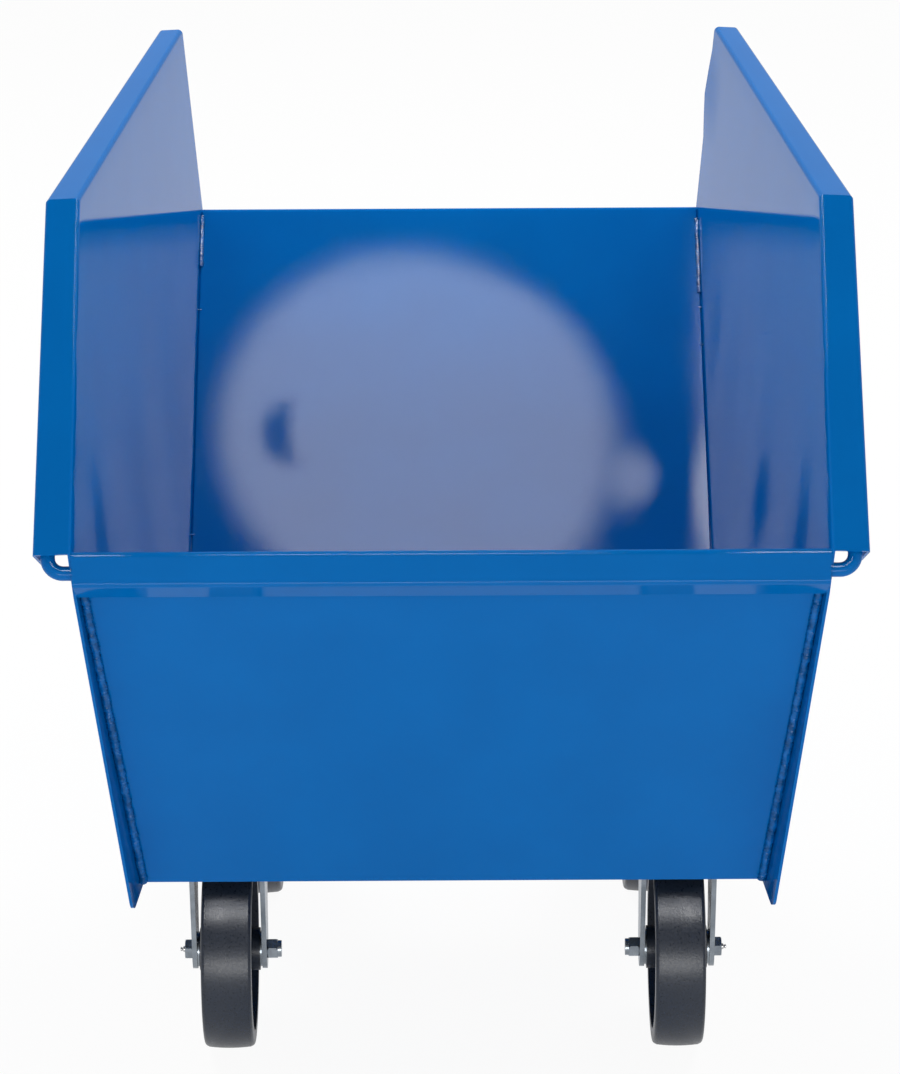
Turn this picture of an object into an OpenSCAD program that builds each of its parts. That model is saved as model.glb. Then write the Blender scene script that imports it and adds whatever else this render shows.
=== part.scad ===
// Portable waste tote: an open-fronted hopper of welded sheet steel on two rigid and two swivel casters.
// Millimetres and degrees. +X is the tote's right, +Y its back and +Z up.
// The origin is on the ground below the middle of the tote.

/* [Hopper] */
// Thickness of the hopper sheet
sheet = 3; // [2:0.5:4]
// Mean radius of the sheet's bends
bend = 4; // [3:0.5:6]
// Inside width between the side panels at the lip
lip_width = 722; // [640:2:800]
// Angle by which each side panel closes in towards the back
side_toe = 6.6; // [4:0.1:8]
// Angle by which each side panel leans outwards
side_flare = 4.6; // [3:0.1:7]
// Height of the side rims above the underside of the floor plate
rim_rise = 660; // [580:5:740]
// Height of the lip above the underside of the floor plate
lip_rise = 378; // [330:2:420]
// Height of the back wall above the underside of the floor plate
back_rise = 454; // [400:2:520]
// Slope of the back wall from the level
back_slope = 48.8; // [44:0.1:58]
// Depth of the back wall's turned-down top edge
back_hem = 30; // [20:1:60]
// Lean of the front wall from the upright
front_lean = 14.8; // [10:0.1:20]
// Distance that the front wall hangs below the floor plate
skirt_drop = 31; // [15:1:36]
// Distance from the front axle back to the front corner of the rims
corner_setback = 47; // [10:1:90]

/* [Rims] */
// Width of the rim at the lip
rim_lip = 37.5; // [33:0.5:50]
// Width of the rim at its front corner
rim_corner = 34; // [28:0.5:50]
// Width of the rim at the back
rim_rear = 27; // [22:0.5:50]
// Depth of the rim's outer wall
rim_depth = 35; // [28:1:45]
// Outer radius of the rim's bends along the top
rim_bend = 5.5; // [4.5:0.5:7]
// Outer radius of the rim's bends along the front
edge_bend = 4; // [3:0.2:4.2]

/* [Side panel edges] */
// Distance that the side panels stand in front of the front wall just below the lip
cheek_high = 16; // [10:1:24]
// Distance that the side panels stand in front of the front wall at their lower corner
cheek_low = 48; // [30:1:70]
// Distance that the side panels hang below the floor plate at the front
tab_drop = 41; // [32:1:46]
// Distance that the side panels hang below the floor plate at the back
heel_drop = 16; // [5:1:20]
// Radius of the side panels' lower front corner
tab_round = 12; // [6:1:20]
// Distance that the side panels reach behind the floor plate
heel_margin = 15; // [8:1:40]
// Distance that the side panels stand behind the back wall
heel_web = 60; // [40:1:90]

/* [Lip and rod] */
// Lean of the lip's folded face from the upright
hem_lean = 21; // [18:0.5:26]
// Length of the lip's folded face, from its fold line
hem_face = 38.5; // [34:0.5:46]
// Slope of the lip's lower return from the level
hem_slope = 50; // [40:1:60]
// Length of the lip's lower return
hem_return = 22; // [12:0.5:26]
// Diameter of the lip rod
rod_d = 14; // [12:0.5:15]
// Mean radius of the lip rod's bends
rod_bend = 15; // [12:0.5:18]
// Length of the rod's straight ends inside the rims
rod_leg = 70; // [40:1:120]
// Gap between the rod and the sheet around it
rod_gap = 0.3; // [0.2:0.1:0.6]
// Gap between the rod's ends and the rims' outer walls
rod_wall_gap = 2; // [1.8:0.1:4]

/* [Floor plate] */
// Thickness of the floor plate
floor_t = 5; // [4:0.5:8]
// Height of the floor plate's turned-up back edge
floor_hem = 35; // [20:1:60]
// Distance that the floor plate reaches behind the rear caster plates
floor_margin = 14; // [10:1:30]

/* [Welds] */
// Radius of the weld beads in the front seams
front_bead = 5; // [3:0.5:7]
// Radius of the weld beads in the back seams
back_bead = 3; // [2:0.5:5]
// Length of each weld in the back seams
stitch = 60; // [40:1:80]
// Distance between the welds in the back seams
stitch_pitch = 430; // [380:1:460]
// Distance from the top of the back wall to the first weld
stitch_start = 8; // [6:1:40]

/* [Wheels] */
// Diameter of the wheels
wheel_d = 203.2; // [180:0.1:220]
// Width of the wheels' tread
wheel_w = 50.8; // [44:0.1:56]
// Radius of the tread's crown, seen across the wheel
crown_r = 170; // [120:1:400]
// Radius of the tread's shoulders
shoulder = 4; // [2:0.5:7]
// Depth of the rim below the tread
rim_t = 18; // [12:1:24]
// Thickness of the wheels' web
web_t = 30; // [20:1:40]
// Radius of the wheels' hub
hub_r = 22; // [19:0.5:30]
// Length of the wheels' hub
hub_len = 62; // [58:0.5:64]
// Diameter of the roller bearings
bearing_d = 30; // [27:0.5:34]
// Number of rollers in each bearing
rollers = 10; // [8:1:11]
// Diameter of the axle bushings
bushing_d = 19; // [17:0.5:21]
// Diameter of the axle bolts
axle_d = 12.7; // [10:0.1:14]
// Diameter of the hub washers
washer_d = 36; // [30:0.5:42]

/* [Forks] */
// Width between the legs of the forks
fork_gap = 66.6; // [66:0.1:72]
// Thickness of the forks' plate
fork_t = 5; // [4:0.5:7]
// Radius of the forks' lower ends
fork_end = 20; // [17:0.5:26]
// Length of the forks' crown along the wheel
fork_top = 72; // [64:1:76]
// Mean radius of the bend between crown and legs
fork_bend = 9; // [7:0.5:12]
// Gap between the wheel and the crown of the swivel yoke
crown_gap = 14.3; // [12:0.1:24]
// Distance by which the swivel wheels trail their kingpins
trail = 47; // [40:1:55]

/* [Caster plates] */
// Length of the caster plates along the tote
plate_len = 114.3; // [110:0.1:130]
// Width of the caster plates across the tote
plate_w = 101.6; // [95:0.1:110]
// Thickness of the caster plates
plate_t = 6.4; // [5:0.1:8]
// Radius of the caster plates' corners
plate_round = 9; // [4:0.5:10]
// Distance between the plate bolts along the tote
bolt_pitch_len = 94; // [92:0.5:96]
// Distance between the plate bolts across the tote
bolt_pitch_w = 67; // [62:0.5:72]
// Diameter of the plate bolts
bolt_d = 9.5; // [8:0.1:10]
// Gap between the front wall and the front caster plates
front_gap = 3; // [2:0.5:10]
// Gap between the back wall's foot and the rear caster plates
foot_gap = 7; // [6:0.5:20]
// Distance from the side panels to the middle of the front casters
front_inset = 81; // [70:1:100]
// Gap between the side panels and the rear caster plates
side_gap = 5; // [3:0.5:20]
// Distance between the front and rear axles
wheelbase = 341; // [320:1:400]

/* [Swivels] */
// Diameter of the kingpins
kingpin_d = 16; // [14:0.1:18]
// Height of each ball race
race_h = 4.5; // [4:0.1:6]
// Gap between the upper and lower ball races
race_gap = 2.4; // [2:0.1:3]
// Inner radius of the ball races
race_in = 24; // [21:0.5:26]
// Outer radius of the ball races
race_out = 38; // [36:0.5:40]
// Diameter of the swivel balls
ball_d = 8; // [7:0.1:8.5]
// Number of swivel balls in each race
balls = 12; // [8:1:16]

/* [Clearances] */
// Radial clearance of the turning fits
run_fit = 0.05; // [0.02:0.01:0.09]
// Radial clearance of bolts in their holes
bolt_fit = 0.4; // [0.2:0.1:0.8]
// End clearance of turning faces
face_fit = 0.15; // [0.1:0.05:0.3]

/* [Hidden] */
$fn = 72;
paint = "#0064b2";
zinc = "#b7bdc4";
black_tread = "#2c2f34";
bright_steel = "#9aa0a6";

// Heights from the ground up
axle_z = wheel_d / 2;
crown_z = wheel_d + crown_gap;
race_z = crown_z + fork_t;
plate_z = race_z + 2 * race_h + race_gap;
deck_z = plate_z + plate_t;
floor_z = deck_z + floor_t;
skirt_z = deck_z - skirt_drop;
tab_z = deck_z - tab_drop;
lip_z = deck_z + lip_rise;
back_z = deck_z + back_rise;
rim_z = deck_z + rim_rise;

// Places along the tote, measured back from the front axle
kingpin_y = wheelbase - trail;
deck_back = kingpin_y + plate_len / 2 + floor_margin;
function front_y(z) =
    -plate_len / 2 - front_gap - sheet / cos(front_lean) - (z - plate_z) * tan(front_lean);

// The lip is one fold of the front wall's sheet round the lip rod, drawn along the middle of the sheet
hem_open = front_lean + hem_lean;
fold_z = lip_z - sheet / 2 - bend + bend / tan(hem_open / 2);
fold_y = front_y(fold_z) + sheet / 2 / cos(front_lean);
hem_corner = [fold_y, fold_z] + hem_face * [-sin(hem_lean), -cos(hem_lean)];
hem_end = hem_corner + hem_return * [cos(hem_slope), -sin(hem_slope)];
front_foot = [front_y(skirt_z) + sheet / 2 / cos(front_lean), skirt_z];
front_path = [front_foot, [fold_y, fold_z], hem_corner, hem_end];
rod_depth = (rod_d / 2 + rod_gap + sheet / 2) / sin(hem_open / 2);
rod_tilt = (hem_lean - front_lean) / 2;
// The rod is a little thicker in its bends, and its straight runs reach into them
rod_swell = 0.2;
rod_lap = 1;
rod_y = fold_y - rod_depth * sin(rod_tilt);
rod_z = fold_z - rod_depth * cos(rod_tilt);
lip_y = fold_y - sheet / 2 - bend;
lip_reach = bend + sheet / 2 - corner_centre([fold_y, fold_z], hem_corner, hem_end, bend).x;

// The back wall stands on the floor plate in front of the rear casters
foot_y = kingpin_y - plate_len / 2 - foot_gap - sheet / sin(back_slope) / 2;
hem_half = (90 - back_slope) / 2;
back_fold_z = back_z - sheet / 2 - bend + bend / tan(hem_half);
back_fold_y = foot_y + (back_fold_z - floor_z) / tan(back_slope);
back_path = [
    [foot_y, floor_z] - 2 * sheet * [cos(back_slope), sin(back_slope)],
    [back_fold_y, back_fold_z],
    [back_fold_y, back_z - back_hem]
];
rim_back = back_fold_y + sheet / 2;
tail = rim_rear * sin(side_toe);
front_axle_y = (lip_reach - rim_back - tail) / 2;

// The inside face of the right side panel, as a half width over the tote's length and height
function side_x(y, z) =
    lip_width / 2 - (y - lip_y) * tan(side_toe) / cos(side_flare) + (z - lip_z) * tan(side_flare);
front_x = side_x(0, deck_z) - front_inset;
rear_x = side_x(kingpin_y + plate_len / 2, plate_z) - side_gap - plate_w / 2;

// A point of the tote's length and height, in the plane of the side panel
function on_sheet(y, z) =
    let (along = (y - lip_y) / cos(side_toe))
    [along, (z - lip_z - along * sin(side_toe) * sin(side_flare)) / cos(side_flare)];
rim_points = [on_sheet(lip_y, lip_z), on_sheet(corner_setback, rim_z), on_sheet(rim_back, rim_z)];
rim_widths = [rim_lip, rim_corner, rim_rear];
// The rim's outer face is one plane, which slopes along and up the sheet to give the three widths
rim_slope = [
    (rim_corner - rim_lip) * rim_points[2].y - (rim_rear - rim_lip) * rim_points[1].y,
    rim_points[1].x * (rim_rear - rim_lip) - rim_points[2].x * (rim_corner - rim_lip)
] / cross(rim_points[1], rim_points[2]);
rim_bends = [edge_bend, rim_bend];
bend_flats = 3;
tab_corner = [front_y(tab_z) - cheek_low, tab_z];
cheek_top = [front_y(hem_end.y) - cheek_high, hem_end.y];
heel_y = deck_back + heel_margin;
heel_z = floor_z + (heel_y - foot_y) * tan(back_slope) - heel_web / cos(back_slope);
rear_z = floor_z + (rim_back - foot_y) * tan(back_slope) - heel_web / cos(back_slope);

// Casters: fork legs, hub stack and fasteners
leg_x = fork_gap / 2 + fork_t;
washer_t = (fork_gap - hub_len) / 2 - 2 * face_fit;
axle_hole = axle_d + 2 * bolt_fit;
bore_d = bearing_d + 2 * run_fit;
roller_d = (bearing_d - bushing_d) / 2 - 2 * run_fit;
roller_ring = (bearing_d + bushing_d) / 4;
cage_t = roller_d / 2;
hex_af = 1.5 * axle_d;
head_t = 0.64 * axle_d;
nut_t = 1.14 * axle_d;
nut_collar = 0.3 * axle_d;
king_af = 1.5 * kingpin_d;
king_nut_t = 0.6 * kingpin_d;
race_ring = (race_in + race_out) / 2;
ball_z = race_z + race_h + race_gap / 2;
plate_nut_af = 1.5 * bolt_d;
plate_nut_t = 0.85 * bolt_d;
plate_bolt_end = 1.5;
dome_r = 1.15 * bolt_d;
dome_h = 0.5 * bolt_d;
beyond = 2 * (rim_z + lip_width);

// Bent sheet, drawn as a path of straight runs with rounded corners

function unit(v) = v / norm(v);

function turned(v, a) = [v.x * cos(a) - v.y * sin(a), v.x * sin(a) + v.y * cos(a)];

function turn(before, here, after) =
    let (a = here - before, b = after - here) atan2(cross(a, b), a * b);

function corner_start(before, here, after, r) =
    here - unit(here - before) * r * tan(abs(turn(before, here, after)) / 2);

function corner_centre(before, here, after, r) =
    corner_start(before, here, after, r)
    + turned(unit(here - before), 90) * r * sign(turn(before, here, after));

function corner_arc(before, here, after, r, steps = 10) =
    let (centre = corner_centre(before, here, after, r))
    let (spoke = corner_start(before, here, after, r) - centre)
    [for (i = [0 : steps]) centre + turned(spoke, turn(before, here, after) * i / steps)];

function rounded(path, r) = [
    path[0],
    for (i = [1 : len(path) - 2]) each corner_arc(path[i - 1], path[i], path[i + 1], r),
    path[len(path) - 1]
];

function run_normal(path, i) = turned(unit(path[i + 1] - path[i]), 90);

function mitre(path, i) =
    i == 0 ? run_normal(path, 0)
    : i == len(path) - 1 ? run_normal(path, i - 1)
    : let (a = run_normal(path, i - 1), b = run_normal(path, i)) (a + b) / (1 + a * b);

function edge_of(path, shift) = [for (i = [0 : len(path) - 1]) path[i] + mitre(path, i) * shift];

function reversed(path) = [for (i = [len(path) - 1 : -1 : 0]) path[i]];

// A path whose two ends are moved outwards by an extra length
function lengthened(path, extra) =
    let (last = len(path) - 1)
    [
        path[0] - extra * unit(path[1] - path[0]),
        for (i = [1 : last - 1]) path[i],
        path[last] + extra * unit(path[last] - path[last - 1])
    ];

module bent_strip(path, t, r) {
    round_path = rounded(path, r);
    polygon(concat(edge_of(round_path, t / 2), reversed(edge_of(round_path, -t / 2))));
}

// Placing helpers

module centred() {
    translate([0, front_axle_y, 0]) children();
}

module corner(side) {
    centred() mirror([side < 0 ? 1 : 0, 0, 0]) children();
}

// Draws a side view, in length and height, and runs it across the tote
module across(width) {
    rotate([90, 0, 90]) linear_extrude(width, center = true) children();
}

// The plane of the right side panel: x along the tote, y up the sheet and z outwards
module on_side() {
    translate([lip_width / 2, lip_y, lip_z])
        rotate([0, side_flare, 0])
            rotate([0, 0, side_toe])
                rotate([90, 0, 90])
                    children();
}

module outside_of_sides() {
    for (side = [0, 1])
        mirror([side, 0, 0])
            on_side()
                translate([-beyond / 2, -beyond / 2, 0])
                    cube(beyond);
}

module between(start, end, r) {
    run = end - start;
    translate(start)
        rotate([0, acos(run.z / norm(run)), atan2(run.y, run.x)])
            cylinder(r = r, h = norm(run));
}

module hex_prism(af, h) {
    intersection() {
        cylinder(d = af / cos(30), h = h, $fn = 6);
        chamfer = af * (1 / cos(30) - 1) / 2;
        rotate_extrude()
            polygon([
                [0, 0], [af / 2, 0], [af / 2 + chamfer, chamfer],
                [af / 2 + chamfer, h - chamfer], [af / 2, h], [0, h]
            ]);
    }
}

module ring(outer_r, inner_r, h) {
    difference() {
        cylinder(r = outer_r, h = h);
        translate([0, 0, -h]) cylinder(r = inner_r, h = 3 * h);
    }
}

module rounded_plate(x, y, r, h) {
    linear_extrude(h) {
        square([x - 2 * r, y], center = true);
        square([x, y - 2 * r], center = true);
        for (i = [-1, 1], j = [-1, 1])
            translate([i * (x / 2 - r), j * (y / 2 - r)]) circle(r);
    }
}

// Side panels

// What a bend of radius r takes off a square edge along x, where the sheet is at negative y and positive z
module bend_cut(r, run) {
    step = 90 / (bend_flats + 1);
    flats = [
        for (i = [0 : bend_flats])
            let (a = (i + 0.5) * step) r / cos(step / 2) * [cos(a), -sin(a)] + [-r, r]
    ];
    rotate([90, 0, 90])
        linear_extrude(run)
            polygon(concat(flats, [[flats[bend_flats].x, -r], [r, -r], [r, flats[0].y]]));
}

module along_rim(i, lift) {
    run = rim_points[i + 1] - rim_points[i];
    taper = lift * atan2(rim_widths[i + 1] - rim_widths[i], norm(run));
    translate([rim_points[i].x, rim_points[i].y, lift * rim_widths[i]])
        rotate(atan2(run.y, run.x))
            rotate([0, -taper, 0])
                translate([-rim_bend, 0, 0])
                    mirror([0, 0, lift])
                        bend_cut(rim_bends[i], norm(run) / cos(taper) + 2 * rim_bend);
}

module rim_band(outer, inner, extra = 0) {
    path = lengthened(rim_points, extra);
    polygon(concat(edge_of(path, -outer), reversed(edge_of(path, -inner))));
}

// Keeps what lies inside the rim's outer face, moved in by an inset
module inside_rim(inset) {
    intersection() {
        children();
        translate([0, 0, rim_lip - inset])
            rotate([atan(rim_slope.y * cos(atan(rim_slope.x))), -atan(rim_slope.x), 0])
                translate([-beyond / 2, -beyond / 2, -beyond])
                    cube(beyond);
    }
}

module rim() {
    difference() {
        inside_rim(0)
            linear_extrude(2 * rim_lip) rim_band(0, rim_depth);
        inside_rim(sheet)
            translate([0, 0, sheet])
                linear_extrude(2 * rim_lip) rim_band(sheet, 2 * rim_depth, sheet);
    }
}

module panel_sheet() {
    outline = [
        each corner_arc(cheek_top, tab_corner, [heel_y, deck_z - heel_drop], tab_round),
        [heel_y, deck_z - heel_drop], [heel_y, heel_z], [rim_back, rear_z], [rim_back, rim_z],
        [corner_setback, rim_z], [lip_y, lip_z], cheek_top
    ];
    linear_extrude(sheet) polygon([for (p = outline) on_sheet(p.x, p.y)]);
}

module side_panel(side) {
    color(paint)
        corner(side)
            difference() {
                on_side()
                    difference() {
                        union() {
                            panel_sheet();
                            rim();
                        }
                        for (i = [0, 1], lift = [0, 1])
                            along_rim(i, lift);
                    }
                translate([0, rod_y, rod_z])
                    rotate([0, 90, 0])
                        cylinder(r = rod_d / 2 + rod_gap, h = lip_width);
            }
}

// Front wall, back wall, floor plate and lip rod

module front_wall() {
    color(paint)
        centred()
            difference() {
                across(beyond) bent_strip(front_path, sheet, bend);
                outside_of_sides();
            }
}

module back_wall() {
    color(paint)
        centred()
            difference() {
                across(beyond) bent_strip(back_path, sheet, bend);
                outside_of_sides();
                translate([-beyond / 2, -beyond / 2, floor_z - beyond]) cube(beyond);
            }
}

module at_plate_bolts() {
    for (side = [0, 1])
        mirror([side, 0, 0])
            for (at = [[front_x, 0], [rear_x, kingpin_y]])
                for (i = [-1, 1], j = [-1, 1])
                    translate([at.x + i * bolt_pitch_w / 2, at.y + j * bolt_pitch_len / 2, 0])
                        children();
}

module floor_plate() {
    floor_front = front_y(deck_z) + sheet / cos(front_lean);
    middle = deck_z + floor_t / 2;
    color(paint)
        centred()
            difference() {
                across(beyond)
                    bent_strip(
                        [[floor_front, middle], [deck_back, middle], [deck_back, middle + floor_hem]],
                        floor_t, floor_t
                    );
                outside_of_sides();
                at_plate_bolts()
                    translate([0, 0, deck_z - floor_t]) cylinder(r = bolt_d / 2 + bolt_fit, h = 3 * floor_t);
            }
}

module lip_rod() {
    edge = [corner_setback - lip_y, rim_z - lip_z];
    climb = atan2(edge.y, edge.x);
    wall_x = rim_lip - sheet - rod_wall_gap - rod_d / 2;
    leg_at = side_x(rod_y, rod_z) + wall_x * cos(side_toe) * cos(side_flare);
    half_run = leg_at - rod_bend;
    color(paint)
        centred()
            translate([0, rod_y, rod_z])
                rotate([climb, 0, 0]) {
                    rotate([0, 90, 0]) cylinder(d = rod_d, h = 2 * (half_run + rod_lap), center = true);
                    for (side = [0, 1])
                        mirror([side, 0, 0])
                            translate([half_run, rod_bend, 0]) {
                                rotate(-90)
                                    rotate_extrude(angle = 90)
                                        translate([rod_bend, 0]) circle(d = rod_d + rod_swell);
                                translate([rod_bend, -rod_lap, 0])
                                    rotate([-90, 0, 0]) cylinder(d = rod_d, h = rod_leg + rod_lap);
                            }
                }
}

// Weld beads fill the corner between two sheets

module front_seam_welds() {
    top_z = hem_end.y - front_bead;
    bottom_z = skirt_z + front_bead;
    color(paint)
        for (side = [-1, 1])
            corner(side)
                difference() {
                    between(
                        [side_x(front_y(bottom_z), bottom_z), front_y(bottom_z), bottom_z],
                        [side_x(front_y(top_z), top_z), front_y(top_z), top_z],
                        front_bead
                    );
                    outside_of_sides();
                    translate([0, front_y(plate_z), plate_z])
                        rotate([front_lean, 0, 0])
                            translate([-beyond / 2, 0, -beyond / 2])
                                cube(beyond);
                }
}

module back_seam_welds() {
    climb = [cos(back_slope), sin(back_slope)];
    foot = [foot_y - sheet / sin(back_slope) / 2, floor_z];
    seam_length = (back_z - floor_z) / sin(back_slope);
    welds = floor((seam_length - stitch_start - stitch) / stitch_pitch);
    color(paint)
        for (side = [-1, 1], i = [0 : welds])
            corner(side) {
                high = foot + climb * (seam_length - stitch_start - i * stitch_pitch);
                low = high - climb * stitch;
                difference() {
                    between(
                        [side_x(low.x, low.y), low.x, low.y],
                        [side_x(high.x, high.y), high.x, high.y],
                        back_bead
                    );
                    outside_of_sides();
                    translate([0, foot.x, foot.y])
                        rotate([back_slope, 0, 0])
                            translate([-beyond / 2, -beyond / 2, -beyond])
                                cube(beyond);
                }
            }
}

// Caster plates and their fasteners

module plate_blank() {
    difference() {
        translate([0, 0, plate_z]) rounded_plate(plate_w, plate_len, plate_round, plate_t);
        for (i = [-1, 1], j = [-1, 1])
            translate([i * bolt_pitch_w / 2, j * bolt_pitch_len / 2, plate_z - plate_t])
                cylinder(r = bolt_d / 2 + bolt_fit, h = 3 * plate_t);
    }
}

module front_caster_plate(side) {
    color(zinc) corner(side) translate([front_x, 0, 0]) plate_blank();
}

module rear_caster_plate(side) {
    color(zinc)
        corner(side)
            translate([rear_x, kingpin_y, 0])
                difference() {
                    union() {
                        plate_blank();
                        translate([0, 0, plate_z - race_h]) ring(race_out, race_in, race_h);
                    }
                    translate([0, 0, plate_z - plate_t]) cylinder(r = kingpin_d / 2 + bolt_fit, h = 3 * plate_t);
                    kingpin_head(bolt_fit);
                    ball_groove();
                }
}

module caster_plate_bolts() {
    bolt_low = plate_z - plate_nut_t - plate_bolt_end;
    color(zinc)
        centred()
            at_plate_bolts() {
                translate([0, 0, bolt_low]) cylinder(d = bolt_d, h = floor_z - bolt_low);
                translate([0, 0, floor_z]) dome();
            }
}

module dome() {
    ball_r = (dome_r * dome_r + dome_h * dome_h) / (2 * dome_h);
    rotate_extrude()
        intersection() {
            translate([0, dome_h - ball_r]) circle(ball_r);
            square([dome_r, dome_h]);
        }
}

module caster_plate_nuts() {
    color(zinc)
        centred()
            at_plate_bolts()
                translate([0, 0, plate_z - plate_nut_t])
                    difference() {
                        hex_prism(plate_nut_af, plate_nut_t);
                        translate([0, 0, -plate_nut_t]) cylinder(d = bolt_d, h = 3 * plate_nut_t);
                    }
}

// Forks: a bent strip, trimmed to the shape of its legs seen from the side

function tangent_angle(p, r) = atan2(p.y, p.x) - acos(r / norm(p));

module leg_outline(front, back, top) {
    // The straight edges meet the round end of the leg without a corner
    left = -180 - tangent_angle([-front, top], fork_end);
    right = tangent_angle([back, top], fork_end);
    steps = 24;
    polygon([
        [front, top], [back, top],
        for (i = [0 : steps]) let (a = right + (left - right) * i / steps) fork_end * [cos(a), sin(a)]
    ]);
}

module fork(front, back, top) {
    middle_x = leg_x - fork_t / 2;
    middle_z = top - fork_t / 2;
    difference() {
        intersection() {
            rotate([90, 0, 0])
                linear_extrude(beyond, center = true)
                    bent_strip(
                        [[-middle_x, -fork_end], [-middle_x, middle_z], [middle_x, middle_z], [middle_x, -fork_end]],
                        fork_t, fork_bend
                    );
            across(beyond) leg_outline(front, back, top);
        }
        rotate([0, 90, 0]) cylinder(d = axle_hole, h = beyond, center = true);
    }
}

module front_fork(side) {
    color(zinc)
        corner(side)
            translate([front_x, 0, axle_z])
                fork(-fork_top / 2, fork_top / 2, plate_z - axle_z);
}

module yoke(side) {
    color(zinc)
        corner(side)
            translate([rear_x, kingpin_y, 0])
                difference() {
                    union() {
                        translate([0, trail, axle_z])
                            fork(-trail - fork_top / 2, fork_top / 2 - trail, race_z - axle_z);
                        translate([0, 0, crown_z]) cylinder(r = race_out, h = fork_t);
                        translate([0, 0, race_z]) ring(race_out, race_in, race_h);
                    }
                    translate([0, 0, crown_z - fork_t]) cylinder(r = kingpin_d / 2 + run_fit, h = 3 * fork_t);
                    ball_groove();
                }
}

// Swivels

module ball_groove() {
    translate([0, 0, ball_z]) rotate_extrude() translate([race_ring, 0]) circle(d = ball_d + 2 * face_fit);
}

module swivel_balls(side) {
    color(bright_steel)
        corner(side)
            translate([rear_x, kingpin_y, ball_z])
                for (i = [0 : balls - 1])
                    rotate(i * 360 / balls) translate([race_ring, 0, 0]) sphere(d = ball_d);
}

module kingpin_head(gap) {
    head_h = 0.8 * plate_t;
    translate([0, 0, deck_z - head_h])
        cylinder(r1 = kingpin_d / 2 + gap, r2 = kingpin_d / 2 + head_h + gap, h = head_h);
}

module kingpin(side) {
    low = crown_z - face_fit - king_nut_t;
    color(bright_steel)
        corner(side)
            translate([rear_x, kingpin_y, 0]) {
                translate([0, 0, low]) cylinder(d = kingpin_d, h = deck_z - low);
                kingpin_head(0);
            }
}

module kingpin_nut(side) {
    color(zinc)
        corner(side)
            translate([rear_x, kingpin_y, crown_z - face_fit - king_nut_t])
                difference() {
                    hex_prism(king_af, king_nut_t);
                    translate([0, 0, -king_nut_t]) cylinder(d = kingpin_d, h = 3 * king_nut_t);
                }
}

// Wheels and axles, drawn along z and laid across the tote with the outer side at positive z

module at_axle(side, rear) {
    corner(side)
        translate([rear ? rear_x : front_x, rear ? wheelbase : 0, axle_z])
            rotate([0, 90, 0])
                children();
}

module wheel(side, rear) {
    tread_r = wheel_d / 2;
    edge_r = tread_r - crown_r + sqrt(crown_r * crown_r - wheel_w * wheel_w / 4);
    color(black_tread)
        at_axle(side, rear)
            rotate_extrude()
                difference() {
                    union() {
                        intersection() {
                            translate([tread_r - rim_t, -wheel_w / 2]) square([rim_t, wheel_w]);
                            translate([tread_r - crown_r, 0]) circle(crown_r, $fn = 360);
                        }
                        translate([bore_d / 2, -web_t / 2]) square([tread_r - rim_t - bore_d / 2, web_t]);
                        translate([bore_d / 2, -hub_len / 2]) square([hub_r - bore_d / 2, hub_len]);
                    }
                    for (end = [0, 1])
                        mirror([0, end])
                            translate([edge_r - shoulder, wheel_w / 2 - shoulder])
                                difference() {
                                    square(2 * shoulder);
                                    circle(shoulder);
                                }
                }
}

module bearing(side, rear) {
    color(bright_steel)
        at_axle(side, rear)
            translate([0, 0, -hub_len / 2]) {
                ring(roller_ring + cage_t / 2, roller_ring - cage_t / 2, hub_len);
                for (i = [0 : rollers - 1])
                    rotate(i * 360 / rollers) translate([roller_ring, 0, 0]) cylinder(d = roller_d, h = hub_len);
            }
}

module bushing(side, rear) {
    color(bright_steel)
        at_axle(side, rear)
            translate([0, 0, -fork_gap / 2])
                ring(bushing_d / 2, axle_d / 2 + bolt_fit / 2, fork_gap);
}

module hub_washers(side, rear) {
    color(zinc)
        at_axle(side, rear)
            for (end = [0, 1])
                mirror([0, 0, end])
                    translate([0, 0, hub_len / 2 + face_fit])
                        ring(washer_d / 2, bushing_d / 2 + bolt_fit, washer_t);
}

module axle_bolt(side, rear) {
    shank = 2 * leg_x + nut_t;
    color(zinc)
        at_axle(side, rear) {
            translate([0, 0, leg_x - shank]) cylinder(d = axle_d, h = shank);
            translate([0, 0, leg_x]) hex_prism(hex_af, head_t);
        }
}

module axle_nut(side, rear) {
    color(zinc)
        at_axle(side, rear)
            mirror([0, 0, 1])
                translate([0, 0, leg_x])
                    difference() {
                        union() {
                            hex_prism(hex_af, nut_t - nut_collar);
                            cylinder(d = hex_af - nut_collar / 2, h = nut_t);
                        }
                        translate([0, 0, -nut_t]) cylinder(d = axle_d, h = 3 * nut_t);
                    }
}

module grease_fitting(side, rear) {
    base_r = axle_d / 4;
    neck_r = axle_d / 8;
    tip_r = axle_d / 6;
    color(bright_steel)
        at_axle(side, rear)
            translate([0, 0, leg_x + head_t])
                rotate_extrude()
                    polygon([
                        [0, 0], [base_r, 0], [base_r, base_r / 2], [neck_r, base_r],
                        [tip_r, base_r + neck_r / 2], [tip_r, base_r + neck_r], [neck_r / 2, base_r + tip_r],
                        [0, base_r + tip_r]
                    ]);
}

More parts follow.
